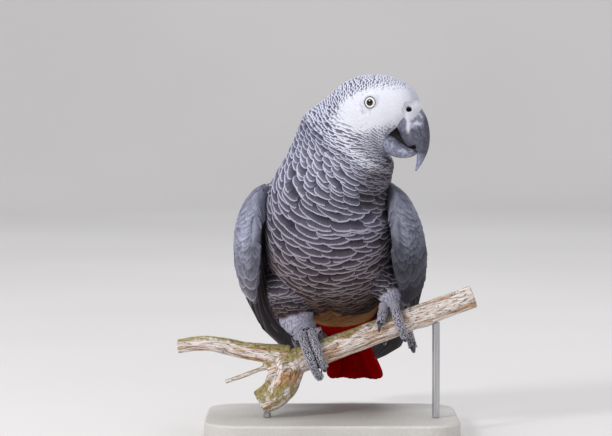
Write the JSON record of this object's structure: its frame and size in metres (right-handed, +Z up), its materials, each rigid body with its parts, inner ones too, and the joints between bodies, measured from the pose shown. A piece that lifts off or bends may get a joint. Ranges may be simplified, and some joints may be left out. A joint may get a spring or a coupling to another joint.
{
  "type": "grey parrot",
  "caption": "Life-size grey parrot with a red tail, head turned to its left, gripping a short forked length of branch on a flat display stand.",
  "frame": {"origin": "middle of the stand base's underside", "axes": "+Z up; -Y the way the bird's body faces, less a turn of 7 degrees; +X to the bird's left, along the branch"},
  "size_m": [0.2083, 0.2195, 0.2481],
  "materials": {
    "feathers_pale": "soft matt plumage, pale grey to white round the eye",
    "feathers_grey": "matt grey plumage with pale feather edges",
    "feathers_dark": "smooth dark slate flight feathers",
    "feathers_red": "deep red plumage",
    "eye": "wet gloss, pale yellow iris with a black pupil",
    "cere": "pale bare skin",
    "bill": "dark grey horn, satin, powdery near the face",
    "scales": "granular grey scales",
    "claws": "dark satin horn",
    "bark": "weathered bark with cracks and lichen",
    "stand_base": "smooth matt pale paint",
    "stand_rod": "brushed steel"
  },
  "bodies": {
    "root": {"head": "feathers_pale", "neck": "feathers_grey", "trunk": "feathers_grey", "tail_coverts": "feathers_red", "tail": "feathers_red", "wing_left_coverts": "feathers_grey", "wing_left_flight_feathers": "feathers_dark", "wing_right_coverts": "feathers_grey", "wing_right_flight_feathers": "feathers_dark", "thigh_left": "feathers_pale", "thigh_right": "feathers_pale", "eye_left": "eye", "eye_right": "eye", "cere": "cere", "bill_upper": "bill", "bill_lower": "bill", "tarsus_left": "scales", "tarsus_right": "scales", "toe_left_outer_front": "scales", "toe_left_inner_front": "scales", "toe_left_outer_back": "scales", "toe_left_inner_back": "scales", "toe_right_outer_front": "scales", "toe_right_inner_front": "scales", "toe_right_outer_back": "scales", "toe_right_inner_back": "scales", "claw_left_outer_front": "claws", "claw_left_inner_front": "claws", "claw_left_outer_back": "claws", "claw_left_inner_back": "claws", "claw_right_outer_front": "claws", "claw_right_inner_front": "claws", "claw_right_outer_back": "claws", "claw_right_inner_back": "claws", "perch_limb": "bark", "perch_stub": "bark", "perch_lower": "bark", "perch_twig": "bark", "stand_base": "stand_base", "stand_rod_1": "stand_rod", "stand_rod_2": "stand_rod"}
  },
  "joints": []
}
